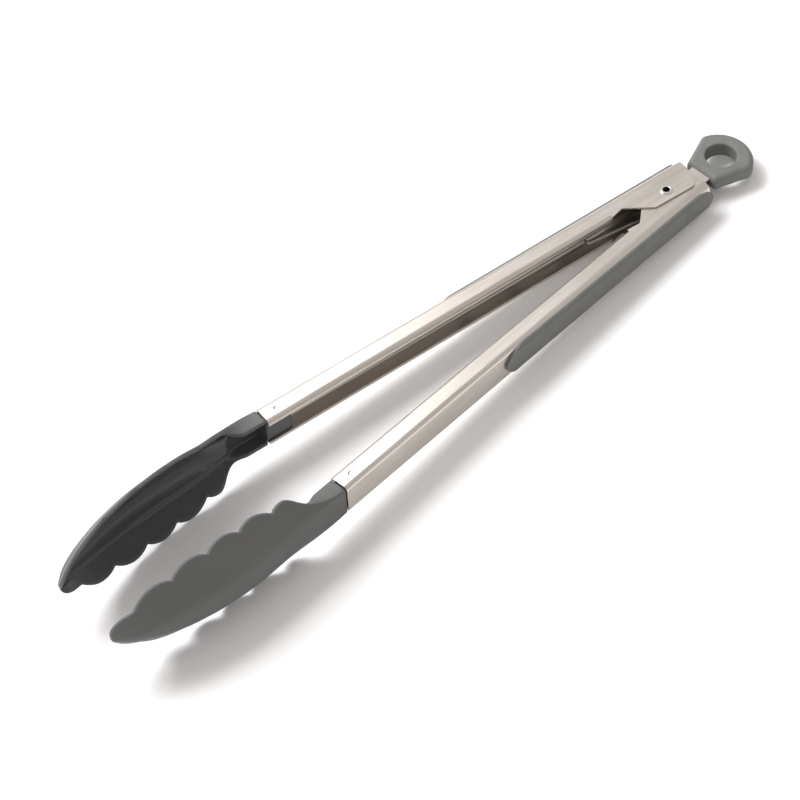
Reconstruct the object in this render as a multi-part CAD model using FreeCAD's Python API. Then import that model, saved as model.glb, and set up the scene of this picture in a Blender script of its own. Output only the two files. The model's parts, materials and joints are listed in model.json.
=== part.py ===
import FreeCAD, Part
import math
import os

# Spring loaded kitchen tongs, in millimetres, +Z up.
# Each arm is drawn lying along -X with its outside towards +Y and the pivot at
# the origin; it is then swung open about the pivot (far arm to +Y, near arm
# mirrored to -Y), and the whole tool is set down on its origin.
# In the arm's own measures, "along" runs from the pivot to the head and "out"
# runs from the middle of the tongs to the outside of the arm.

# ---- driving dimensions ----
OPEN_HALF_ANGLE = 5.08      # degrees each arm stands from the middle at rest

SHEET = 0.8                 # arm sheet thickness
BEND_R = 2.0                # outer bend radius of the channel
TAPER_FROM = 120.0          # from here to the pivot the channel widens and its bends open
WIDER_AT_PIVOT = 1.2
ROUNDER_AT_PIVOT = 1.6
ARM_LENGTH = 200.0          # pivot to the head end of the steel
ARM_TAIL = 15.0             # pivot to the tail end of the steel
ARM_OUT = 9.9               # outer face of the web
ARM_LIP_OUT = 2.1           # lip plane at the pivot
LIP_TAPER = 0.006           # the lip plane moves in this much per mm along
ARM_HEIGHT = 16.1           # channel height at the pivot
HEIGHT_TAPER = 0.005        # the channel loses this height per mm along
LIP_DEPTH = 2.8             # how far the inner lips turn down
LIP_START = 26.8            # where the lips begin, along the arm

EAR_IN = 7.0                # blank width of an ear past the pivot, before trimming
# The ear's corners seen along the pivot, from the lip's end round to the tail: x, out.
EAR_CORNERS = ((-20.7, 3.4), (-9.4, -4.7), (11.4, -5.1), (14.7, 4.2))
EAR_RADII = (0.8, 2.0, 2.6, 3.0)
EAR_DROP = 0.9              # the near arm narrows by one sheet a side, to fit between the far ears
RIVET_HOLE_R = 2.0

CRIMP_ALONG = 193.7         # dimples that hold the head's tang
CRIMP_OUT = 5.3
CRIMP_R = 1.6
CRIMP_DEPTH = 0.35

GRIP_TAIL = 15.9            # grip pad, measured like the arm
GRIP_HEAD = 110.0
GRIP_PROUD = 1.15
GRIP_WRAP = 38.0            # degrees the pad wraps round each bend of the arm
GRIP_EDGE = 0.35
GRIP_ROLL = 1.9             # the crown's edges roll off over this height
GRIP_ROLL_BULGE = 0.26
GRIP_TAIL_ROUND = 9.5       # lengths of the pad's half-oval ends
GRIP_HEAD_ROUND = 11.0
STUD_R = 1.6
STUD_HEAD_R = 2.7
STUD_HEAD = 0.8
STUD_ALONG = (14.0, 46.0, 72.0, 98.0)

HEAD_WALL = 2.0             # scoop wall
BACK_STEPS = 3              # points on each half of the curved back
WALL_LEAN = 33.0            # degrees the scoop's side walls lean from upright
LOBE_MARGIN = 4.2           # blank left on the walls before the lobes are cut
OVERRUN = 5.0               # how far cutting solids run past what they cut
TANG_START = 188.5
TANG_CLEAR = 0.05
TANG_FRONT = 2.0

RIVET_R = 1.95
RIVET_BORE = 1.5
RIVET_FLANGE_R = 2.45
RIVET_FLANGE = 0.55
RIVET_SEAT = 0.02
RIVET_ROLL = 0.25
RIVET_FIT = 0.03            # running fit of the bushes on the rivet
BUSH_GAP = 0.1

BUSH_R = 3.4
STRIP_OUT = 2.2             # lock strip: half height over its two leaves
STRIP_SHEET = 0.8
STRIP_HALF = 4.85
STRIP_START = -10.8
STRIP_END = 26.2
STRIP_BEND = 2.1
SHOULDER_HALF = 8.4
SHOULDER_FROM = -7.0
SHOULDER_TO = -2.5
SHOULDER_RAMP = 1.5
STRIP_TIP_R = 1.5
STRIP_CORNER_R = 0.8
STRIP_INNER_R = 0.5
SLOT_HALF = 2.05
SLOT_TRAVEL = 7.4
TAB_YAW = 2.4               # degrees the strip and ring lie askew in their free play

RING_FRONT = 21.2
RING_FRONT_HALF = 7.9
RING_FRONT_R = 1.0
RING_HALF = 13.9
RING_WIDEST = 37.0
RING_CORNER_R = 3.2
RING_REAR = 46.9
RING_THICK = 7.4
RING_EDGE = 2.6             # the ring's edges are rolled well over, like a grommet's
RING_BORE_X = 33.7
RING_BORE_R = 6.65
RING_BORE_EDGE = 0.9

SPRING_SHEET = 0.7
SPRING_HALF = 1.25          # half height of the spring strip
SPRING_R = 3.5              # outer radius of its coil
SPRING_BUSH_R = 2.7
SPRING_END = 39.6           # where a leg's foot turns out, along the arm
SPRING_END_OUT = 2.0
SPRING_LAP = 0.1            # gap between the legs where they cross
SPRING_CROSS = 20.0         # the legs are half height up to here
FOOT_GAP = 0.1

# Scoop stations: along, crease out, crease half height, wall up to the rim, back out.
# The wall leans from the crease to the rim; the back curves from the crease to the spine.
SCOOP = (
    (222.0, 8.6, 7.5, 9.9, 10.0),
    (231.4, 7.1, 8.8, 8.6, 10.1),
    (247.0, 6.2, 10.0, 9.8, 10.0),
    (262.0, 4.3, 9.9, 9.8, 8.6),
    (278.0, 1.0, 8.6, 8.4, 5.1),
    (288.0, -1.9, 6.9, 6.8, 1.6),
    (295.0, -4.7, 4.8, 4.8, -1.4),
    (301.0, -7.8, 2.9, 3.0, -5.4),
    (306.0, -10.5, 1.3, 1.2, -9.9),
)
# Sleeve stations: along, then the half section from the lip round to the web, out and height.
SLEEVE = (
    (200.0, ((2.0, 7.55), (4.6, 7.55), (7.9, 7.45), (9.35, 6.25), (9.9, 3.4), (9.9, 0.0))),
    (208.0, ((2.0, 7.8), (5.0, 8.0), (8.3, 8.3), (9.6, 6.8), (9.9, 3.4), (9.9, 0.0))),
    (214.0, ((2.2, 9.9), (4.8, 10.3), (7.3, 10.0), (9.35, 7.0), (9.95, 3.5), (9.95, 0.0))),
)
# The rim ramps up from the sleeve to the first lobe; then notches and crests: along, half height.
RAMP = ((200.0, 7.85), (206.0, 8.5), (214.0, 10.6), (220.0, 14.2))
NOTCHES = ((220.0, 14.2), (231.4, 16.1), (247.0, 18.3), (262.0, 18.2), (278.3, 15.7), (295.0, 9.0))
CRESTS = ((225.6, 17.6), (239.4, 20.4), (254.7, 21.0), (270.4, 19.6), (287.2, 15.6))
TIP = 305.6                 # along, at the very tip
TIP_SHOULDER = (301.0, 6.2)
OUTLINE_DEPTH = 60.0        # the outline prism is longer than any head is deep

FACET = 0.05                # facet tolerance used to measure the whole tool

V = FreeCAD.Vector
Z_AXIS = V(0, 0, 1)
ORIGIN = V(0, 0, 0)


# ---- small helpers ----
def rounded_edges(points, radii):
    """Edges along a list of points, each inner corner rounded by its radius."""
    edges = []
    start = points[0]
    for here, after, radius in zip(points[1:-1], points[2:], radii):
        into = (here - start).normalize()
        away = (after - here).normalize()
        turn = into.getAngle(away)
        if radius <= 0 or turn < 0.001:
            edges.append(Part.LineSegment(start, here).toShape())
            start = here
            continue
        back = radius * math.tan(turn / 2)
        first = here - into * back
        last = here + away * back
        bisector = (away - into).normalize()
        middle = here + bisector * (radius / math.cos(turn / 2) - radius)
        edges.append(Part.LineSegment(start, first).toShape())
        edges.append(Part.Arc(first, middle, last).toShape())
        start = last
    edges.append(Part.LineSegment(start, points[-1]).toShape())
    return edges


def bent_sheet(points, radii, thickness, normal):
    """Closed outline of a bent sheet: its outer path and the same path one sheet in.

    normal x direction of travel points to the inside of the sheet."""
    directions = []
    for here, after in zip(points[:-1], points[1:]):
        directions.append((after - here).normalize())
    inner = []
    inner_radii = []
    for index, point in enumerate(points):
        before = directions[max(index - 1, 0)]
        after = directions[min(index, len(directions) - 1)]
        side_a = normal.cross(before)
        side_b = normal.cross(after)
        shift = (side_a + side_b).normalize()
        shift = shift * (thickness / shift.dot(side_a))
        inner.append(point + shift)
        if 0 < index < len(points) - 1:
            radius = radii[index - 1]
            towards = before.cross(after).dot(normal)
            change = -thickness if towards > 0 else thickness
            inner_radii.append(radius + change if radius > 0 else 0)
    outer_edges = rounded_edges(points, radii)
    inner_edges = rounded_edges(inner[::-1], inner_radii[::-1])
    end = Part.LineSegment(points[-1], inner[-1]).toShape()
    start = Part.LineSegment(inner[0], points[0]).toShape()
    return Part.Wire(outer_edges + [end] + inner_edges + [start])


def prism(points, radii, low, high):
    """A rounded outline in the XY plane, extruded from low to high."""
    loop = [V(x, y, low) for x, y in points]
    middle = (loop[0] + loop[-1]) * 0.5
    path = [middle] + loop + [middle]
    wire = Part.Wire(rounded_edges(path, radii))
    return Part.Face(wire).extrude(V(0, 0, high - low))


def cylinder(radius, low, high, x=0.0, y=0.0):
    return Part.makeCylinder(radius, high - low, V(x, y, low))


def fuse(shapes):
    result = shapes[0]
    for shape in shapes[1:]:
        result = result.fuse(shape)
    return result.removeSplitter()


def taper_share(along):
    """0 on the straight part of an arm, 1 at the pivot."""
    return max(0.0, 1 - along / TAPER_FROM)


def half_height(along, drop=0.0):
    narrowing = min(1.0, max(0.0, (TAPER_FROM - along) / (TAPER_FROM - LIP_START)))
    return (ARM_HEIGHT - HEIGHT_TAPER * along) / 2 - drop * narrowing


def web_out(along):
    return ARM_OUT + WIDER_AT_PIVOT * taper_share(along)


def bend_radius(along):
    return BEND_R + ROUNDER_AT_PIVOT * taper_share(along)


def lip_out(along):
    return ARM_LIP_OUT - LIP_TAPER * along


def swing(shape, side):
    """Swing a part drawn along -X to its place on the far (+1) or near (-1) arm."""
    if side < 0:
        shape = shape.mirror(ORIGIN, V(0, 1, 0))
    placed = shape.copy()
    placed.rotate(ORIGIN, Z_AXIS, -side * OPEN_HALF_ANGLE)
    return placed


# ---- arms ----
def lipped_section(along, drop):
    top = half_height(along, drop)
    lip = lip_out(along)
    web = web_out(along)
    bend = bend_radius(along)
    x = -along
    points = [
        V(x, lip, top - LIP_DEPTH),
        V(x, lip, top),
        V(x, web, top),
        V(x, web, -top),
        V(x, lip, -top),
        V(x, lip, LIP_DEPTH - top),
    ]
    return bent_sheet(points, [BEND_R, bend, bend, BEND_R], SHEET, V(-1, 0, 0))


def ear_section(along, drop):
    top = half_height(along, drop)
    web = web_out(along)
    bend = bend_radius(along)
    x = -along
    points = [V(x, -EAR_IN, top), V(x, web, top), V(x, web, -top), V(x, -EAR_IN, -top)]
    return bent_sheet(points, [bend, bend], SHEET, V(-1, 0, 0))


def ear_outline():
    """Outline of an ear and the tail of the arm, seen along the pivot."""
    deep = web_out(-ARM_TAIL) + OVERRUN
    points = [(-LIP_START, deep), (-LIP_START, lip_out(LIP_START))] + list(EAR_CORNERS)
    points = points + [(ARM_TAIL, deep)]
    return prism(points, [0, 0] + list(EAR_RADII) + [0], -ARM_HEIGHT, ARM_HEIGHT)


def arm(drop):
    straight = Part.makeLoft([lipped_section(ARM_LENGTH, drop), lipped_section(TAPER_FROM, drop)], True, True)
    tapered = Part.makeLoft([lipped_section(TAPER_FROM, drop), lipped_section(LIP_START, drop)], True, True)
    ears = Part.makeLoft([ear_section(LIP_START, drop), ear_section(-ARM_TAIL, drop)], True, True)
    body = fuse([straight, tapered, ears.common(ear_outline())])
    body = body.cut(cylinder(RIVET_HOLE_R, -ARM_HEIGHT, ARM_HEIGHT))
    dimple_centre = half_height(CRIMP_ALONG) - CRIMP_DEPTH + CRIMP_R
    for sign in (1, -1):
        ball = Part.makeSphere(CRIMP_R, V(-CRIMP_ALONG, CRIMP_OUT, sign * dimple_centre))
        body = body.cut(ball)
    for along in STUD_ALONG:
        hole = Part.makeCylinder(STUD_R, 2 * SHEET, V(-along, web_out(along) - 1.5 * SHEET, 0), V(0, 1, 0))
        body = body.cut(hole)
    return body


# ---- grip pads ----
def grip_section(along, drop):
    """Section of the pad: its inside hugs the web and wraps part way round both bends."""
    bend = bend_radius(along)
    flat = half_height(along, drop) - bend
    wrap = math.radians(GRIP_WRAP)
    centre = web_out(along) - bend
    edge = V(-along, centre + bend * math.cos(wrap), flat + bend * math.sin(wrap))
    hug = V(-along, centre + bend * math.cos(wrap / 2), flat + bend * math.sin(wrap / 2))
    step = edge + V(0, GRIP_EDGE, 0)
    crown = V(-along, web_out(along) + GRIP_PROUD, edge.z - GRIP_ROLL)
    roll = (step + crown) * 0.5 + V(0, GRIP_ROLL_BULGE, GRIP_ROLL_BULGE)
    web = V(-along, web_out(along), flat)

    def low(point):
        return V(point.x, point.y, -point.z)

    return Part.Wire([
        Part.LineSegment(low(web), web).toShape(),
        Part.Arc(web, hug, edge).toShape(),
        Part.LineSegment(edge, step).toShape(),
        Part.Arc(step, roll, crown).toShape(),
        Part.LineSegment(crown, low(crown)).toShape(),
        Part.Arc(low(crown), low(roll), low(step)).toShape(),
        Part.LineSegment(low(step), low(edge)).toShape(),
        Part.Arc(low(edge), low(hug), low(web)).toShape(),
    ])


def grip_half(along, drop):
    """Half height of the pad where it stops on the bends."""
    bend = bend_radius(along)
    return half_height(along, drop) - bend + bend * math.sin(math.radians(GRIP_WRAP))


def grip_outline(drop):
    """Outline of the pad seen square to the web: straight sides and half-oval ends."""
    head = V(GRIP_HEAD_ROUND - GRIP_HEAD, 0, 0)
    tail = V(GRIP_TAIL - GRIP_TAIL_ROUND, 0, 0)
    head_half = grip_half(-head.x, drop)
    tail_half = grip_half(-tail.x, drop)
    head_side = V(0, head_half, 0)
    tail_side = V(0, tail_half, 0)
    head_end = Part.Ellipse(head, GRIP_HEAD_ROUND, head_half)
    tail_end = Part.Ellipse(tail, GRIP_TAIL_ROUND, tail_half)
    wire = Part.Wire([
        Part.ArcOfEllipse(head_end, math.pi / 2, 3 * math.pi / 2).toShape(),
        Part.LineSegment(head - head_side, tail - tail_side).toShape(),
        Part.ArcOfEllipse(tail_end, -math.pi / 2, math.pi / 2).toShape(),
        Part.LineSegment(tail + tail_side, head + head_side).toShape(),
    ])
    return Part.Face(wire).extrude(V(0, 0, ARM_HEIGHT))


def grip(drop):
    sections = [grip_section(GRIP_HEAD, drop), grip_section(LIP_START, drop), grip_section(-GRIP_TAIL, drop)]
    pad = Part.makeLoft(sections, True, True)
    trim = grip_outline(drop)
    trim.rotate(ORIGIN, V(1, 0, 0), -90)
    pad = pad.common(trim)
    studs = []
    for along in STUD_ALONG:
        inside = web_out(along + STUD_HEAD_R) - SHEET
        studs.append(Part.makeCylinder(STUD_R, SHEET + GRIP_PROUD / 2, V(-along, inside, 0), V(0, 1, 0)))
        studs.append(Part.makeCylinder(STUD_HEAD_R, STUD_HEAD, V(-along, inside - STUD_HEAD, 0), V(0, 1, 0)))
    return fuse([pad] + studs)


# ---- heads ----
def scoop_half(crease_out, crease_top, wall, back):
    """Half of a scoop section as points from the wall's free edge to the spine."""
    lean = math.radians(WALL_LEAN)
    upward = V(0, -math.sin(lean), math.cos(lean))
    crease = V(0, crease_out, crease_top)
    depth = back - crease_out
    radius = (depth * depth + crease_top * crease_top) / (2 * depth)
    angle = math.asin(min(1.0, crease_top / radius))
    points = [crease + upward * (wall + LOBE_MARGIN), crease + upward * (wall / 2), crease]
    for step in range(1, BACK_STEPS + 1):
        turn = angle * (1 - step / BACK_STEPS)
        points.append(V(0, back - radius + radius * math.cos(turn), radius * math.sin(turn)))
    return points


def inward(points, wall):
    """The same half section moved in by the wall, along each point's own normal."""
    moved = []
    for index, point in enumerate(points):
        before = points[max(index - 1, 0)]
        if index + 1 < len(points):
            after = points[index + 1]
        else:
            after = V(0, before.y, -before.z)
        run = (after - before).normalize()
        moved.append(point + V(0, run.z, -run.y) * wall)
    moved[-1].z = 0
    return moved


def scoop_solid(halves):
    """A closed loft through half sections mirrored top to bottom, flat across the mouth."""
    wires = []
    for along, half in halves:
        curve = Part.BSplineCurve()
        points = half + [V(0, p.y, -p.z) for p in half[-2::-1]]
        points = [p + V(-along, 0, 0) for p in points]
        curve.interpolate(points)
        mouth = Part.LineSegment(points[-1], points[0])
        wires.append(Part.Wire([curve.toShape(), mouth.toShape()]))
    return Part.makeLoft(wires, True, False)


def lobe_outline():
    """The head's outline seen from outside: ramp, lobes on both long edges, tip."""
    edges = []
    for sign in (1, -1):
        def at(point, sign=sign):
            return V(-point[0], 0, sign * point[1])
        edges.append(Part.LineSegment(at(RAMP[0]), at(RAMP[1])).toShape())
        edges.append(Part.Arc(at(RAMP[1]), at(RAMP[2]), at(RAMP[3])).toShape())
        for before, crest, after in zip(NOTCHES[:-1], CRESTS, NOTCHES[1:]):
            edges.append(Part.Arc(at(before), at(crest), at(after)).toShape())
        edges.append(Part.Arc(at(NOTCHES[-1]), at(TIP_SHOULDER), V(-TIP, 0, 0)).toShape())
    along, top = RAMP[0]
    edges.append(Part.LineSegment(V(-along, 0, -top), V(-along, 0, top)).toShape())
    body = Part.Face(Part.Wire(Part.__sortEdges__(edges))).extrude(V(0, OUTLINE_DEPTH, 0))
    body.translate(V(0, -OUTLINE_DEPTH / 2, 0))
    return body


def head():
    outside = []
    for along, half in SLEEVE:
        outside.append((along, [V(0, out, height) for out, height in half]))
    for along, crease_out, crease_top, wall, back in SCOOP:
        outside.append((along, scoop_half(crease_out, crease_top, wall, back)))
    inside = []
    for along, half in outside[:-1]:
        lining = inward(half, HEAD_WALL)
        lining[0] = lining[0] + (lining[0] - lining[1]).normalize() * OVERRUN
        inside.append((along, lining))
    start_along, start = inside[0]
    inside.insert(0, (start_along - OVERRUN, start))
    shell = scoop_solid(outside).cut(scoop_solid(inside))
    shell = shell.common(lobe_outline())
    top = half_height(TANG_START) - SHEET - TANG_CLEAR
    deep = ARM_OUT - SHEET - TANG_CLEAR
    tang_end = ARM_LENGTH + HEAD_WALL
    tang = Part.makeBox(tang_end - TANG_START, deep - TANG_FRONT, 2 * top, V(-tang_end, TANG_FRONT, -top))
    tang = tang.makeFillet(BEND_R - SHEET, [e for e in tang.Edges if e.BoundBox.XLength > 1])
    return fuse([shell, tang])


# ---- pivot ----
def rivet():
    """A hollow rivet with a rolled flange at each end."""
    top = half_height(0) + RIVET_SEAT
    high = half_height(0) + RIVET_FLANGE
    half = [(RIVET_BORE, high), (RIVET_FLANGE_R, high), (RIVET_FLANGE_R, top), (RIVET_R, top)]
    points = [V(RIVET_BORE, 0, 0)] + [V(r, 0, z) for r, z in half]
    points = points + [V(r, 0, -z) for r, z in half[::-1]] + [V(RIVET_BORE, 0, 0)]
    radii = [RIVET_ROLL, RIVET_ROLL, 0, 0, 0, 0, RIVET_ROLL, RIVET_ROLL]
    wire = Part.Wire(rounded_edges(points, radii))
    return Part.Face(wire).revolve(ORIGIN, Z_AXIS, 360)


def bush(low, high, radius):
    ring = cylinder(radius, low, high).cut(cylinder(RIVET_R + RIVET_FIT, low - 1, high + 1))
    return ring


def spring():
    low = -SPRING_HALF
    high = SPRING_HALF
    coil = cylinder(SPRING_R, low, high).cut(cylinder(SPRING_R - SPRING_SHEET, low - 1, high + 1))
    opening = math.radians(OPEN_HALF_ANGLE)
    pieces = [coil]
    for side in (1, -1):
        end_x = -SPRING_END * math.cos(opening) + SPRING_END_OUT * math.sin(opening)
        end_y = SPRING_END * math.sin(opening) + SPRING_END_OUT * math.cos(opening)
        end = V(end_x, end_y, 0)
        distance = end.Length
        middle_r = SPRING_R - SPRING_SHEET / 2
        bearing = math.atan2(end.y, end.x)
        touch = bearing + math.acos(middle_r / distance)
        start = V(middle_r * math.cos(touch), middle_r * math.sin(touch), 0)
        run = (end - start).normalize()
        across = V(-run.y, run.x, 0) * (SPRING_SHEET / 2)
        cross = start + run * SPRING_CROSS
        lap = SPRING_LAP / 2
        near_half = [start - across, start + across, cross + across, cross - across]
        blade = [cross - across, cross + across, end + across, end - across]
        lower = lap if side > 0 else low
        for corners, base, height in ((near_half, lower, high - lap), (blade, low, high - low)):
            loop = [V(p.x, side * p.y, base) for p in corners]
            pieces.append(Part.Face(Part.makePolygon(loop + [loop[0]])).extrude(V(0, 0, height)))
        foot_end = web_out(SPRING_END) - SHEET - FOOT_GAP
        foot_start = SPRING_END_OUT - SPRING_SHEET / 2
        foot = Part.makeBox(SPRING_SHEET, foot_end - foot_start, high - low,
                            V(-SPRING_END - SPRING_SHEET / 2, foot_start, low))
        pieces.append(swing(foot, side))
    return fuse(pieces)


# ---- lock strip and ring ----
def lock_strip():
    points = [
        V(STRIP_START, 0, STRIP_OUT),
        V(STRIP_END, 0, STRIP_OUT),
        V(STRIP_END, 0, -STRIP_OUT),
        V(STRIP_START, 0, -STRIP_OUT),
    ]
    wire = bent_sheet(points, [STRIP_BEND] * 2, STRIP_SHEET, V(0, 1, 0))
    folded = Part.Face(wire).extrude(V(0, 2 * SHOULDER_HALF, 0))
    folded.translate(V(0, -SHOULDER_HALF, 0))
    outline = [
        (STRIP_START, STRIP_HALF), (SHOULDER_FROM, STRIP_HALF), (SHOULDER_FROM, SHOULDER_HALF),
        (SHOULDER_TO, SHOULDER_HALF), (SHOULDER_TO + SHOULDER_RAMP, STRIP_HALF),
        (STRIP_END + 1, STRIP_HALF),
    ]
    outline = outline + [(x, -y) for x, y in outline[::-1]]
    half_radii = [STRIP_TIP_R, STRIP_INNER_R] + [STRIP_CORNER_R] * 3 + [0]
    radii = half_radii + half_radii[::-1]
    blank = folded.common(prism(outline, radii, -STRIP_OUT - 1, STRIP_OUT + 1))
    slot = [(-SLOT_TRAVEL, -SLOT_HALF), (0, -SLOT_HALF), (0, SLOT_HALF), (-SLOT_TRAVEL, SLOT_HALF)]
    blank = blank.cut(prism(slot, [0] * 4, -STRIP_OUT - 1, STRIP_OUT + 1))
    for x in (-SLOT_TRAVEL, 0):
        blank = blank.cut(cylinder(SLOT_HALF, -STRIP_OUT - 1, STRIP_OUT + 1, x))
    return blank


def pull_ring(strip):
    half = RING_THICK / 2
    corner = V(RING_WIDEST, RING_HALF, -half)
    front = V(RING_FRONT, RING_FRONT_HALF, -half)

    def mirrored(point):
        return V(point.x, -point.y, point.z)

    outline = Part.Wire([
        Part.LineSegment(mirrored(front), front).toShape(),
        Part.LineSegment(front, corner).toShape(),
        Part.Arc(corner, V(RING_REAR, 0, -half), mirrored(corner)).toShape(),
        Part.LineSegment(mirrored(corner), mirrored(front)).toShape(),
    ])
    body = Part.Face(outline).extrude(V(0, 0, RING_THICK))
    for x, radius in ((RING_WIDEST, RING_CORNER_R), (RING_FRONT, RING_FRONT_R)):
        posts = [e for e in body.Edges if e.BoundBox.ZLength > half and abs(e.BoundBox.XMin - x) < 0.01]
        body = body.makeFillet(radius, posts)
    rims = [e for e in body.Edges if abs(abs(e.BoundBox.ZMin) - half) < 0.01 and e.BoundBox.ZLength < 0.01]
    body = body.makeFillet(RING_EDGE, rims)
    body = body.cut(cylinder(RING_BORE_R, -half - 1, half + 1, RING_BORE_X))
    mouths = []
    for edge in body.Edges:
        box = edge.BoundBox
        if box.ZLength < 0.01 and abs(box.XLength - 2 * RING_BORE_R) < 0.01:
            mouths.append(edge)
    body = body.makeFillet(RING_BORE_EDGE, mouths)
    return body.cut(strip)


# ---- assembly ----
strip = lock_strip()
ring = pull_ring(strip)
for tab_part in (strip, ring):
    tab_part.rotate(ORIGIN, Z_AXIS, TAB_YAW)

bush_top = half_height(0) - SHEET - EAR_DROP - BUSH_GAP
scoop = head()
parts = {
    "arm_far": swing(arm(0.0), 1),
    "arm_near": swing(arm(EAR_DROP), -1),
    "grip_far": swing(grip(0.0), 1),
    "grip_near": swing(grip(EAR_DROP), -1),
    "head_far": swing(scoop, 1),
    "head_near": swing(scoop, -1),
    "pivot_rivet": rivet(),
    "bush_upper": bush(STRIP_OUT + BUSH_GAP, bush_top, BUSH_R),
    "bush_lower": bush(-bush_top, -STRIP_OUT - BUSH_GAP, BUSH_R),
    "spring_bush": bush(-SPRING_HALF, SPRING_HALF, SPRING_BUSH_R),
    "leaf_spring": spring(),
    "lock_strip": strip,
    "pull_ring": ring,
}

# The origin is under the middle of the whole tool, level with its lowest lobes.
corners = Part.makeCompound(list(parts.values())).tessellate(FACET)[0]
low = V(min(p.x for p in corners), min(p.y for p in corners), min(p.z for p in corners))
high = V(max(p.x for p in corners), max(p.y for p in corners), max(p.z for p in corners))
set_down = V(-(low.x + high.x) / 2, -(low.y + high.y) / 2, -low.z)
print("pivot at", [round(c, 4) for c in set_down], "size", [round(c, 3) for c in high - low])

os.makedirs("parts", exist_ok=True)
for name, shape in parts.items():
    shape.translate(set_down)
    print(name, shape.ShapeType, len(shape.Solids), "solids", shape.isValid(), round(shape.Volume, 1))
    shape.exportStep("parts/" + name + ".step")
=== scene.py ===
import bpy
import bmesh
import json
import math
from mathutils import Matrix, Vector


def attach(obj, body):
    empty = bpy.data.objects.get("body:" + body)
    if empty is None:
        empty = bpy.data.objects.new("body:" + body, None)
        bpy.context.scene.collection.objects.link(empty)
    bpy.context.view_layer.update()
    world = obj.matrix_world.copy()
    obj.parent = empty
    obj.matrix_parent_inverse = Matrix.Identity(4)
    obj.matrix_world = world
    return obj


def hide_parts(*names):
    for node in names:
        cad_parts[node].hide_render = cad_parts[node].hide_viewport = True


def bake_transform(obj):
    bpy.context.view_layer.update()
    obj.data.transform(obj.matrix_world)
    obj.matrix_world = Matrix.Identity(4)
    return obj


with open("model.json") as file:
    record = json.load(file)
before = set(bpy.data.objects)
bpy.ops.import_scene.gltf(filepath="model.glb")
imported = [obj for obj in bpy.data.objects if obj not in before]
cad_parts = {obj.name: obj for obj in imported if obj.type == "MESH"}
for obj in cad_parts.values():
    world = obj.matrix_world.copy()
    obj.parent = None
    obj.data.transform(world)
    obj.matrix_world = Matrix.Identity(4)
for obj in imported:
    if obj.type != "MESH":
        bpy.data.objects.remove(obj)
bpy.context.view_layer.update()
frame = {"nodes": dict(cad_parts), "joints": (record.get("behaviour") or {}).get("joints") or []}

# Sizes are in millimetres and turned into metres by MM. Each arm has its own
# measures: "along" runs from the pivot to the head, "out" from the middle of
# the tongs to the outside of the arm, and height along the pivot.
MM = 0.001
OPEN_HALF_ANGLE = math.radians(5.08)
SIDES = {"far": 1, "near": -1}


def joint(name):
    return next(j for j in frame["joints"] if j["name"] == name)


PIVOT = Vector(joint("far_hinge")["pos_m"])


def arm_matrix(side):
    """From an arm's own measures (along, out, height in mm) to the frame."""
    sin, cos = math.sin(OPEN_HALF_ANGLE), math.cos(OPEN_HALF_ANGLE)
    turn = Matrix(((-cos, sin, 0), (side * sin, side * cos, 0), (0, 0, 1))).to_4x4()
    return Matrix.Translation(PIVOT) @ turn @ Matrix.Scale(MM, 4)


# ---- small helpers ----
def smoothstep(low, high, value):
    share = min(1.0, max(0.0, (value - low) / (high - low)))
    return share * share * (3 - 2 * share)


def curve_through(knots, value):
    """A smooth curve through knots (position, height), with no overshoot."""
    if value <= knots[0][0]:
        return knots[0][1]
    slopes = [(b[1] - a[1]) / (b[0] - a[0]) for a, b in zip(knots[:-1], knots[1:])]
    tangents = [slopes[0]]
    for before, after in zip(slopes[:-1], slopes[1:]):
        level = before * after <= 0
        tangents.append(0.0 if level else 2 * before * after / (before + after))
    tangents.append(slopes[-1])
    for index, ((x0, y0), (x1, y1)) in enumerate(zip(knots[:-1], knots[1:])):
        if value <= x1:
            width = x1 - x0
            t = (value - x0) / width
            start = y0 * (1 + 2 * t) + tangents[index] * width * t
            end = y1 * (3 - 2 * t) - tangents[index + 1] * width * (1 - t)
            return start * (1 - t) ** 2 + end * t * t
    return knots[-1][1]


def mesh_object(name, bm, smooth=True):
    """An object of its own made from a bmesh, which is used up."""
    for face in bm.faces:
        face.smooth = smooth
    mesh = bpy.data.meshes.new(name)
    bm.to_mesh(mesh)
    bm.free()
    piece = bpy.data.objects.new(name, mesh)
    bpy.context.scene.collection.objects.link(piece)
    return piece


def finish_piece(piece, material, body, stands_for):
    piece.data.materials.append(material)
    if body:
        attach(piece, body)
    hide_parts(stands_for)


# ---- shader arithmetic ----
class Value:
    """A shader socket whose arithmetic adds Math nodes; the other operand may be a number."""

    def __init__(self, finish, socket):
        self.finish = finish
        self.socket = socket

    def combine(self, operation, first, second):
        return self.finish.node("ShaderNodeMath", {"operation": operation}, {0: first, 1: second})

    def __add__(self, other):
        return self.combine("ADD", self, other)

    def __radd__(self, other):
        return self.combine("ADD", other, self)

    def __sub__(self, other):
        return self.combine("SUBTRACT", self, other)

    def __rsub__(self, other):
        return self.combine("SUBTRACT", other, self)

    def __mul__(self, other):
        return self.combine("MULTIPLY", self, other)

    def __rmul__(self, other):
        return self.combine("MULTIPLY", other, self)


# A Mix node's sockets when it mixes colours: its other kinds share the names, not the numbers.
MIX_SHARE = 0
MIX_FIRST = 6
MIX_SECOND = 7
MIX_RESULT = 2


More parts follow.
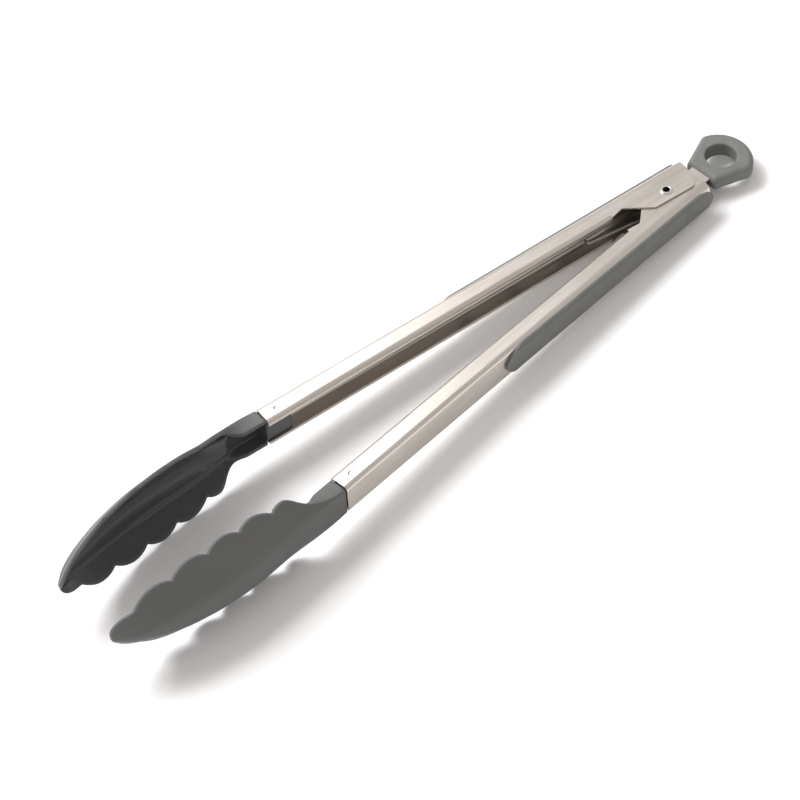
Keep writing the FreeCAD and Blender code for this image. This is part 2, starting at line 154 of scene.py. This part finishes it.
class Finish:
    """A material made of nodes around one Principled shader."""

    def __init__(self, name, **constants):
        self.material = bpy.data.materials.new(name)
        self.material.use_nodes = True
        self.tree = self.material.node_tree
        self.shader = self.tree.nodes["Principled BSDF"]
        for socket, value in constants.items():
            self.shader.inputs[socket.replace("_", " ")].default_value = value

    def node(self, kind, settings=None, inputs=None, output=0):
        made = self.tree.nodes.new(kind)
        for key, value in (settings or {}).items():
            if key == "stops":
                self.set_stops(made.color_ramp, value)
            else:
                setattr(made, key, value)
        for key, value in (inputs or {}).items():
            if isinstance(value, Value):
                self.tree.links.new(value.socket, made.inputs[key])
            else:
                made.inputs[key].default_value = value
        return Value(self, made.outputs[output])

    def set_stops(self, ramp, stops):
        for element, (place, level) in zip(ramp.elements, stops):
            element.position = place
            element.color = (level, level, level, 1)

    def place(self, turn=0.0, stretch=(1, 1, 1)):
        """Object coordinates, turned about the pivot's axis and stretched."""
        coordinates = self.node("ShaderNodeTexCoord", output="Object")
        rotation = {"Vector": coordinates, "Rotation": (0, 0, turn)}
        turned = self.node("ShaderNodeMapping", {}, rotation)
        return self.node("ShaderNodeMapping", {}, {"Vector": turned, "Scale": stretch})

    def noise(self, vector, scale, detail=3.0, roughness=0.5):
        return self.node("ShaderNodeTexNoise", {},
                         {"Vector": vector, "Scale": scale, "Detail": detail, "Roughness": roughness})

    def ramp(self, value, stops):
        return self.node("ShaderNodeValToRGB", {"stops": stops}, {"Fac": value})

    def mix(self, share, first, second):
        inputs = {MIX_SHARE: share, MIX_FIRST: first, MIX_SECOND: second}
        return self.node("ShaderNodeMix", {"data_type": "RGBA"}, inputs, MIX_RESULT)

    def bump(self, height, distance, strength=1.0):
        normal = self.node("ShaderNodeBump", {},
                           {"Height": height, "Distance": distance, "Strength": strength})
        self.feed("Normal", normal)

    def feed(self, socket, value):
        self.tree.links.new(value.socket, self.shader.inputs[socket])


# ---- finishes ----
def brushed_steel(name, turn):
    """Stainless strip with its rolling grain lengthwise, fine scratches and a few smudges."""
    steel = Finish(name, Metallic=1.0)
    grain = steel.noise(steel.place(turn, stretch=(14, 900, 900)), scale=1.0, detail=4.0, roughness=0.6)
    fine = steel.noise(steel.place(turn, stretch=(60, 3600, 3600)), scale=1.0, detail=2.0, roughness=0.6)
    smudge = steel.noise(steel.place(turn, stretch=(30, 90, 90)), scale=1.0, detail=3.0)
    streak = grain * 0.35 + fine * 0.45 + smudge * 0.2
    light = (0.71, 0.675, 0.635, 1)
    dark = (0.52, 0.48, 0.44, 1)
    steel.feed("Base Color", steel.mix(steel.ramp(streak, ((0.3, 0.0), (0.7, 1.0))), dark, light))
    steel.feed("Roughness", 0.24 + streak * 0.16 + smudge * 0.08)
    steel.bump(streak, distance=0.00003, strength=0.6)
    return steel.material


def soft_rubber(name, light, dark):
    """Matte moulded rubber: eggshell grain, faint cloudiness, a few pale dust specks."""
    rubber = Finish(name, Specular_IOR_Level=0.42)
    place = rubber.place()
    cloud = rubber.noise(place, scale=170.0, detail=3.0)
    grain = rubber.noise(place, scale=1500.0, detail=2.0, roughness=0.6)
    shade = rubber.ramp(cloud * 0.7 + grain * 0.3, ((0.3, 0.0), (0.7, 1.0)))
    specks = rubber.ramp(rubber.noise(place, scale=620.0, detail=1.0), ((0.76, 0.0), (0.80, 1.0)))
    body = rubber.mix(shade, dark, light)
    dust = tuple(min(1.0, 1.8 * c) for c in light[:3]) + (1,)
    rubber.feed("Base Color", rubber.mix(specks * 0.5, body, dust))
    rubber.feed("Roughness", 0.58 + grain * 0.16)
    rubber.bump(grain, distance=0.00008, strength=0.5)
    return rubber.material


def head_nylon():
    """Moulded nylon: spark-eroded matte outside, smoother inside the scoop, where a darker colour is
    painted shade.
    """
    nylon = Finish("head_nylon", Specular_IOR_Level=0.5)
    # Mask of the scoop's inside: the finish there is smoother, and its darker colour is painted shade
    inside = nylon.node("ShaderNodeAttribute", {"attribute_name": "inside"}, output="Fac")
    place = nylon.place()
    cloud = nylon.noise(place, scale=60.0, detail=3.0)
    grain = nylon.noise(place, scale=1700.0, detail=2.0, roughness=0.6)
    flow = nylon.noise(nylon.place(stretch=(25, 160, 160)), scale=1.0, detail=3.0)
    outer = nylon.mix(cloud, (0.088, 0.089, 0.087, 1), (0.108, 0.110, 0.108, 1))
    # The darker inner colour is painted shade; the nylon is the same inside and out
    inner = nylon.mix(flow, (0.062, 0.062, 0.065, 1), (0.080, 0.080, 0.084, 1))
    nylon.feed("Base Color", nylon.mix(inside, outer, inner))
    nylon.feed("Roughness", 0.50 + grain * 0.12 - inside * (0.40 - flow * 0.1))
    nylon.bump(grain * (1 - inside * 0.8), distance=0.00006, strength=0.5)
    return nylon.material


def bright_metal():
    """Plated rivet: nearly a mirror, with faint scuffs."""
    chrome = Finish("rivet_bright", Metallic=1.0)
    scratch = chrome.noise(chrome.place(stretch=(900, 900, 300)), scale=1.0, detail=4.0, roughness=0.7)
    chrome.feed("Base Color", chrome.mix(scratch, (0.72, 0.71, 0.69, 1), (0.86, 0.86, 0.85, 1)))
    chrome.feed("Roughness", 0.10 + scratch * 0.14)
    chrome.bump(scratch, distance=0.00002, strength=0.4)
    return chrome.material


def spring_strip():
    """Cold-rolled spring strip with its rolling lines along it."""
    strip = Finish("spring_steel", Metallic=1.0)
    rolled = strip.noise(strip.place(stretch=(60, 60, 1600)), scale=1.0, detail=4.0, roughness=0.6)
    strip.feed("Base Color", strip.mix(rolled, (0.40, 0.37, 0.32, 1), (0.60, 0.58, 0.53, 1)))
    strip.feed("Roughness", 0.26 + rolled * 0.2)
    strip.bump(rolled, distance=0.00003, strength=0.5)
    return strip.material


def bush_plastic():
    """Plain moulded plastic, as the bushes inside the pivot have."""
    plastic = Finish("bush_plastic", Specular_IOR_Level=0.45)
    grain = plastic.noise(plastic.place(), scale=1400.0, detail=2.0)
    plastic.feed("Base Color", plastic.mix(grain, (0.035, 0.035, 0.037, 1), (0.06, 0.06, 0.062, 1)))
    plastic.feed("Roughness", 0.42 + grain * 0.2)
    plastic.bump(grain, distance=0.00004, strength=0.4)
    return plastic.material


# ---- heads ----
WALL = 2.0
WALL_LEAN = math.radians(33)
UPWARD = Vector((0, -math.sin(WALL_LEAN), math.cos(WALL_LEAN)))
OUTWARD = Vector((0, math.cos(WALL_LEAN), math.sin(WALL_LEAN)))
HEAD_START = 200.3          # a shadow gap is left at the end of the steel
NECK_FROM = 210.0           # the sleeve's flange turns into the scoop's rim between these
NECK_TO = 220.0
SLEEVE_TOP = 7.55
SLEEVE_LIP = 2.0
SLEEVE_WEB = 9.9
STATION_STEP = 0.8
HEAD_END = 305.4
# Along the head: where the wall creases away from the back, and how long the wall is.
CREASE_OUT = ((200, 9.8), (208, 9.7), (216, 9.3), (222, 8.6), (231.4, 7.1), (247, 6.15),
              (262, 4.35), (278, 1.05), (288, -1.85), (295, -4.6), (301, -7.6), (305.4, -10.3))
CREASE_TOP = ((200, 6.3), (208, 6.9), (216, 7.1), (222, 7.5), (231.4, 8.8), (247, 10.0),
              (262, 9.9), (278, 8.6), (288, 7.0), (295, 5.2), (301, 3.4), (305.4, 0.7))
BACK_OUT = ((200, 9.85), (216, 9.9), (231.4, 10.02), (247, 9.93), (262, 8.55), (278, 5.05),
            (288, 1.6), (295, -1.4), (301, -5.2), (305.4, -9.7))
WALL_LENGTH = ((200, 0.8), (204, 1.2), (208, 1.9), (212, 3.2), (216, 4.9), (220, 7.8),
               (222.5, 10.3), (225, 11.5), (231.4, 8.64), (247, 9.83), (262, 9.77), (278, 8.5),
               (288, 7.0), (295, 5.4), (299, 4.9), (302, 4.0), (304.4, 2.7), (305.4, 1.2))
FIRST_CREST = 225.0
NOTCHES = (231.4, 247.0, 262.0, 278.3, 295.0)
LOBE = 3.0
LOBE_FULLNESS = 0.75
ARC_STEPS = 8
LEAST_SAG = 0.05            # a back this flat is still drawn as an arc


def wall_length(along):
    """Wall height above its crease: the plain rim, with a lobe between each two notches."""
    plain = curve_through(WALL_LENGTH, along)
    first = NOTCHES[0]
    if FIRST_CREST < along < first:
        crest = curve_through(WALL_LENGTH, FIRST_CREST)
        notch = curve_through(WALL_LENGTH, first)
        fall = math.cos(math.pi / 2 * (along - FIRST_CREST) / (first - FIRST_CREST))
        return notch + (crest - notch) * fall ** LOBE_FULLNESS
    for start, end in zip(NOTCHES[:-1], NOTCHES[1:]):
        if start < along < end:
            share = math.sin(math.pi * (along - start) / (end - start))
            return plain + LOBE * share ** LOBE_FULLNESS
    return plain


def back_arc(crease, back):
    """Points from a crease round to the spine, leaving out the crease itself."""
    sag = max(back - crease.y, LEAST_SAG)
    radius = (sag * sag + crease.z * crease.z) / (2 * sag)
    angle = math.asin(min(1.0, crease.z / radius))
    arc = []
    for step in range(1, ARC_STEPS + 1):
        turn = angle * (1 - step / ARC_STEPS)
        y = back - radius + radius * math.cos(turn)
        arc.append(Vector((0, y, radius * math.sin(turn))))
    return arc


RIM_ROUND = 0.55            # outside of the rim
RIM_ROUND_SHARE = 0.2       # at most this share of a short wall
RIDGE_ROUND = 0.3           # top of the rim, outer side
LIP_ROUND = 0.35            # top of the rim, inner side
LEAST_WALL = 0.6            # thickness that the wall keeps where it has no height
WALL_FOOT = 0.8             # the inner wall is this much shorter than the outer one
OUTER_SHARES = (0.25, 0.5, 0.75)
INNER_SHARES = (0.2, 0.4, 0.6, 0.8, 1.0)
ACROSS_SHARES = (0.3, 0.65)
SLEEVE_INSIDE = SLEEVE_WEB - WALL
# The sleeve's flange from its top to its root: outward of the lip, and below the top.
FLANGE = ((0.3, 0.0), (0.0, 0.3), (0.0, 1.0), (0.0, 1.7), (0.4, WALL), (2.8, WALL), (5.3, WALL))
SLEEVE_CORNER = Vector((0, SLEEVE_INSIDE + 0.3, SLEEVE_TOP + 0.02))
SLEEVE_CREASE = Vector((0, SLEEVE_INSIDE, SLEEVE_TOP - WALL - 0.6))
CREASE_INWARD = Vector((0, WALL - 0.25, 0.95))
SQUARE_TO = 207             # the sleeve's square corner has gone by here
POCKET_DEPTH = 1.35         # hollow in the floor at the neck
POCKET_OPENS = (213.5, 217.5)
POCKET_CLOSES = (222, 232)
POCKET_HALF = (3.5, 7.0)    # full depth within the first height, none beyond the second
FLOOR_STEP = 0.75           # size of the step along both sides of the floor
STEP_OPENS = (214, 220)
STEP_CLOSES = (258, 268)
STEP_FOOT = 0.12            # of the step, how far its foot climbs the wall
STEP_FLOOR = 0.3            # of the step, how far the whole floor is raised
FLOOR_EDGE = ((0.7, 0.55), (0.0, 0.75), (-0.28, 1.1))   # of the step: outward, and from the wall


def rise_and_fall(opens, closes, along):
    """Nothing before the first pair of stations, all between the two, nothing after."""
    return smoothstep(*opens, along) * (1 - smoothstep(*closes, along))


def head_half_section(along):
    """Half a head section: outer points from the spine to the rim, and inner points back."""
    crease = Vector((0, curve_through(CREASE_OUT, along), curve_through(CREASE_TOP, along)))
    back = curve_through(BACK_OUT, along)
    length = wall_length(along)
    ridge = crease + UPWARD * length
    turned = smoothstep(NECK_FROM, NECK_TO, along)

    outer = back_arc(crease, back)[::-1] + [crease]
    for share in OUTER_SHARES:
        outer.append(crease + UPWARD * length * share)
    short = min(RIM_ROUND, length * RIM_ROUND_SHARE)
    outer.append(ridge - UPWARD * short)

    # The sleeve's flange, and the scoop's wall that it turns into.
    flange = [Vector((0, SLEEVE_LIP + out, SLEEVE_TOP - below)) for out, below in FLANGE]
    lip = ridge - OUTWARD * min(WALL, LEAST_WALL + length)
    wall = [lip + OUTWARD * LIP_ROUND, lip - UPWARD * LIP_ROUND]
    for share in INNER_SHARES:
        wall.append(lip - UPWARD * (LIP_ROUND + (length - WALL_FOOT) * share))
    inner = []
    for plain, scooped in zip(flange, wall):
        inner.append(plain.lerp(scooped, turned))

    # The top face, from the ridge across to the lip.
    rounded = smoothstep(CREASE_OUT[0][0], SQUARE_TO, along)
    near_ridge = SLEEVE_CORNER.lerp(ridge - OUTWARD * RIDGE_ROUND, rounded)
    across = [near_ridge]
    for share in ACROSS_SHARES:
        across.append(near_ridge.lerp(inner[0], share))

    inner_crease = SLEEVE_CREASE.lerp(crease - CREASE_INWARD, turned)
    pocket = POCKET_DEPTH * rise_and_fall(POCKET_OPENS, POCKET_CLOSES, along)
    # The floor stands a little proud of the walls, with a sharp edge along both sides.
    step = FLOOR_STEP * rise_and_fall(STEP_OPENS, STEP_CLOSES, along)
    foot = inner_crease + Vector((0, step, STEP_FOOT * step))
    edge = [inner_crease + Vector((0, step * out, -step * away)) for out, away in FLOOR_EDGE]
    floor = back_arc(inner_crease, back - WALL)
    for point in floor:
        shelf = 1 - smoothstep(*POCKET_HALF, abs(point.z))
        point.y -= pocket * shelf
        point.y -= step * STEP_FLOOR
    return outer + across, inner + [foot] + edge + floor


def head_loop(along):
    """The whole closed section at one station, and how many of its half's points are outside."""
    outer, inner = head_half_section(along)
    half = outer + inner
    lower = [Vector((0, p.y, -p.z)) for p in half]
    # The spine's two points lie on the middle, so the lower half leaves them out.
    loop = half + lower[-2:0:-1]
    for point in loop:
        point.x = along
    return loop, len(outer)


def head_stations():
    """Evenly spaced stations, the nearest of which are moved onto the notches."""
    count = round((HEAD_END - HEAD_START) / STATION_STEP)
    stations = [HEAD_START + (HEAD_END - HEAD_START) * i / count for i in range(count + 1)]
    for notch in NOTCHES:
        nearest = min(range(len(stations)), key=lambda i: abs(stations[i] - notch))
        stations[nearest] = notch
    return stations


TANG_START = 188.5
TANG_END = 201.0
TANG_FRONT = 2.0
TANG_HALF = 6.7
TANG_BACK = 9.0
TANG_SLOPE = 0.4            # its end is shorter by this at the front
TANG_NARROWS = 0.8
TANG_EDGE = 0.9
TANG_GLOSS_AND_SHADE = 0.35          # the tang's share of the scoop's inside look: smoother, and painted darker as shade
INSIDE_BLEND = 2            # points past the rim over which the outside look gives way to the inside's gloss and painted shade


def add_tang(bm):
    """The solid tang that fills the end of the steel channel."""
    made = bmesh.ops.create_cube(bm, size=1.0)
    size = Vector((TANG_END - TANG_START, TANG_BACK - TANG_FRONT, 2 * TANG_HALF))
    middle = Vector(((TANG_END + TANG_START) / 2, (TANG_BACK + TANG_FRONT) / 2, 0))
    bmesh.ops.scale(bm, vec=size, verts=made["verts"])
    bmesh.ops.translate(bm, vec=middle, verts=made["verts"])
    # The end towards the scoop slopes back at the front and is a little narrower.
    for vert in made["verts"]:
        if vert.co.x > middle.x and vert.co.y < middle.y:
            vert.co.x -= TANG_SLOPE
        if vert.co.x > middle.x:
            vert.co.z *= TANG_NARROWS
    edges = list({edge for vert in made["verts"] for edge in vert.link_edges})
    bmesh.ops.bevel(bm, geom=edges, offset=TANG_EDGE, segments=3, profile=0.5,
                    affect="EDGES", material=-1)


def build_head(name, side):
    """A scoop head: bridged sections with capped ends, and the tang in the end of the arm."""
    bm = bmesh.new()
    # Marks the scoop's inside, which the finish makes smoother and paints darker as shade
    inside = bm.verts.layers.float.new("inside")
    loops = []
    for along in head_stations():
        points, outer_count = head_loop(along)
        verts = [bm.verts.new(point) for point in points]
        half = len(points) // 2 + 1
        for index, vert in enumerate(verts):
            step = index if index < half else len(points) - index
            vert[inside] = smoothstep(outer_count, outer_count + INSIDE_BLEND, step)
        edges = [bm.edges.new((a, b)) for a, b in zip(verts, verts[1:] + verts[:1])]
        loops.append((verts, edges))
    for (_, before), (_, after) in zip(loops[:-1], loops[1:]):
        bmesh.ops.bridge_loops(bm, edges=before + after)
    for verts, _ in (loops[0], loops[-1]):
        bm.faces.new(verts)
    tang_from = len(bm.verts)
    add_tang(bm)
    bm.verts.ensure_lookup_table()
    # The tang takes part of the inside look, and so part of its painted shade
    for vert in bm.verts[tang_from:]:
        vert[inside] = TANG_GLOSS_AND_SHADE
    bmesh.ops.transform(bm, matrix=arm_matrix(side), verts=bm.verts)
    bmesh.ops.recalc_face_normals(bm, faces=bm.faces)
    piece = mesh_object(name, bm)
    smooth = piece.modifiers.new("round", "SUBSURF")
    smooth.levels = 1
    smooth.render_levels = 1
    return piece


# ---- spring ----
SPRING_SHEET = 0.7
SPRING_HALF = 1.25
SPRING_R = 3.5
SPRING_END = 39.6
SPRING_END_OUT = 2.0
SPRING_FOOT_OUT = 8.95
SPRING_FOOT_LEAN = 0.3
SPRING_BEND = 1.2           # how far from its corner the rounding of the foot's bend starts
SPRING_EDGE = 0.12
HALF_GAP = 0.1              # each leg stops this far from the middle of the strip's height
LEG_STEPS = 24
BEND_STEPS = 6
COIL_STEPS = 48


def strip_along(name, path, low, high):
    """A flat strip on edge along a path of points (x, y) in mm from the pivot."""
    bm = bmesh.new()
    verts = [bm.verts.new((x, y, low)) for x, y in path]
    edges = [bm.edges.new(pair) for pair in zip(verts[:-1], verts[1:])]
    made = bmesh.ops.extrude_edge_only(bm, edges=edges)
    raised = [v for v in made["geom"] if isinstance(v, bmesh.types.BMVert)]
    bmesh.ops.translate(bm, vec=(0, 0, high - low), verts=raised)
    matrix = Matrix.Translation(PIVOT) @ Matrix.Scale(MM, 4)
    bmesh.ops.transform(bm, matrix=matrix, verts=bm.verts)
    piece = mesh_object(name, bm)
    sheet = piece.modifiers.new("sheet", "SOLIDIFY")
    sheet.thickness = SPRING_SHEET * MM
    sheet.offset = 0
    edge = piece.modifiers.new("edge", "BEVEL")
    edge.width = SPRING_EDGE * MM
    edge.segments = 2
    edge.limit_method = "ANGLE"
    for modifier in (sheet, edge):
        bpy.context.view_layer.objects.active = piece
        with bpy.context.temp_override(object=piece):
            bpy.ops.object.modifier_apply(modifier=modifier.name)
    return piece


def spring_leg_path(side):
    """From where the leg leaves the coil to its foot against the web."""
    matrix = arm_matrix(side)
    middle_r = SPRING_R - SPRING_SHEET / 2
    bend = (matrix @ Vector((SPRING_END, SPRING_END_OUT, 0)) - PIVOT) / MM
    foot = (matrix @ Vector((SPRING_END + SPRING_FOOT_LEAN, SPRING_FOOT_OUT, 0)) - PIVOT) / MM
    bearing = math.atan2(bend.y, bend.x)
    touch = bearing + side * math.acos(middle_r / bend.length)
    start = Vector((middle_r * math.cos(touch), middle_r * math.sin(touch), 0))
    path = [start.lerp(bend, i / LEG_STEPS).to_2d() for i in range(LEG_STEPS)]
    before = bend.lerp(start, SPRING_BEND / bend.length)
    after = bend.lerp(foot, SPRING_BEND / (foot - bend).length)
    for step in range(BEND_STEPS + 1):
        t = step / BEND_STEPS
        path.append((before.lerp(bend, t).lerp(bend.lerp(after, t), t)).to_2d())
    path.append(foot.to_2d())
    return path, touch


def build_spring(material):
    """Two legs that reach from the coil to feet against the arms' webs, and the coil that joins them."""
    touches = {}
    for name, side in SIDES.items():
        path, touch = spring_leg_path(side)
        touches[name] = touch
        low, high = (HALF_GAP, SPRING_HALF) if side > 0 else (-SPRING_HALF, -HALF_GAP)
        leg = strip_along("spring_leg_" + name, path, low, high)
        finish_piece(leg, material, None, "leaf_spring")
        name + "_side"
        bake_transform(leg)
    # The coil goes round the bush from where the near leg leaves it to where the far leg does.
    middle_r = SPRING_R - SPRING_SHEET / 2
    begin = touches["near"]
    finish = touches["far"] - 2 * math.pi
    path = []
    for step in range(COIL_STEPS + 1):
        angle = begin + (finish - begin) * step / COIL_STEPS
        path.append((middle_r * math.cos(angle), middle_r * math.sin(angle)))
    coil = strip_along("spring_coil", path, -SPRING_HALF, SPRING_HALF)
    finish_piece(coil, material, "pivot", "leaf_spring")


# ---- make the tongs ----
def repaint(node, material):
    for material_slot in frame["nodes"][node].material_slots:
        material_slot.material = material


nylon = head_nylon()
spring_steel = spring_strip()
plastic = bush_plastic()
grip_rubber = soft_rubber("grip_rubber", (0.155, 0.158, 0.15, 1), (0.125, 0.127, 0.12, 1))
ring_rubber = soft_rubber("ring_rubber", (0.165, 0.17, 0.158, 1), (0.13, 0.135, 0.125, 1))

for name, side in SIDES.items():
    repaint("arm_" + name, brushed_steel("arm_steel_" + name, side * OPEN_HALF_ANGLE))
    repaint("grip_" + name, grip_rubber)
    head = build_head("scoop_head_" + name, side)
    finish_piece(head, nylon, name + "_side", "head_" + name)
repaint("lock_strip", brushed_steel("strip_steel", 0.0))
repaint("pull_ring", ring_rubber)
repaint("pivot_rivet", bright_metal())
for node in ("bush_upper", "bush_lower", "spring_bush"):
    repaint(node, plastic)
build_spring(spring_steel)


# ---- camera, floor and light ----
CAMERA_AZIMUTH = math.radians(-38.2)
CAMERA_ELEVATION = math.radians(50.34)
CAMERA_ROLL = math.radians(-4.08)
CAMERA_DISTANCE = 1186.72 * MM
CAMERA_AIM = PIVOT + Vector((-150.455, -3.43, 0)) * MM
SENSOR = 36.0
LENS = 135.0
FLOOR_SLOPE = math.radians(2.757)    # the tongs rest on the lobes and the tail
FLOOR_HEIGHT = 5.99 * MM
FLOOR_SIZE = 4


def make_camera():
    data = bpy.data.cameras.new("camera")
    data.sensor_width = SENSOR
    data.lens = LENS
    camera = bpy.data.objects.new("camera", data)
    bpy.context.scene.collection.objects.link(camera)
    level = math.cos(CAMERA_ELEVATION)
    back = Vector((math.sin(CAMERA_AZIMUTH) * level, -math.cos(CAMERA_AZIMUTH) * level,
                   math.sin(CAMERA_ELEVATION)))
    right = Vector((math.cos(CAMERA_AZIMUTH), math.sin(CAMERA_AZIMUTH), 0))
    up = back.cross(right)
    cos, sin = math.cos(CAMERA_ROLL), math.sin(CAMERA_ROLL)
    axes = Matrix((right * cos + up * sin, up * cos - right * sin, back)).transposed().to_4x4()
    camera.matrix_world = Matrix.Translation(CAMERA_AIM + back * CAMERA_DISTANCE) @ axes
    bpy.context.scene.camera = camera


def make_floor():
    bm = bmesh.new()
    bmesh.ops.create_grid(bm, x_segments=1, y_segments=1, size=FLOOR_SIZE)
    floor = mesh_object("floor", bm, smooth=False)
    floor.location = (0, 0, FLOOR_HEIGHT)
    floor.rotation_euler = (0, -FLOOR_SLOPE, 0)
    paper = Finish("floor_paper", Specular_IOR_Level=0.1)
    tone = paper.noise(paper.place(), scale=3.0, detail=2.0)
    paper.feed("Base Color", paper.mix(tone, (0.90, 0.90, 0.90, 1), (0.92, 0.92, 0.92, 1)))
    paper.feed("Roughness", 0.8 + tone * 0.1)
    floor.data.materials.append(paper.material)


def make_light(name, place, size, power):
    """A rectangular lamp turned to what the camera looks at."""
    data = bpy.data.lights.new(name, "AREA")
    data.shape = "RECTANGLE"
    data.size, data.size_y = size
    data.energy = power
    light = bpy.data.objects.new(name, data)
    light.location = place
    light.rotation_euler = (CAMERA_AIM - Vector(place)).to_track_quat("-Z", "Y").to_euler()
    bpy.context.scene.collection.objects.link(light)


def make_studio():
    make_light("key", place=(-0.5, 1.0, 1.3), size=(0.8, 0.8), power=24)
    make_light("head_glow", place=(0.04, 0.52, 0.8), size=(0.52, 0.4), power=3.4)
    world = bpy.data.worlds.new("studio")
    world.use_nodes = True
    backdrop = world.node_tree.nodes["Background"]
    backdrop.inputs["Color"].default_value = (1.0, 0.965, 0.95, 1)
    backdrop.inputs["Strength"].default_value = 0.67
    bpy.context.scene.world = world
    bpy.context.scene.view_settings.view_transform = "Standard"


make_camera()
make_floor()
make_studio()
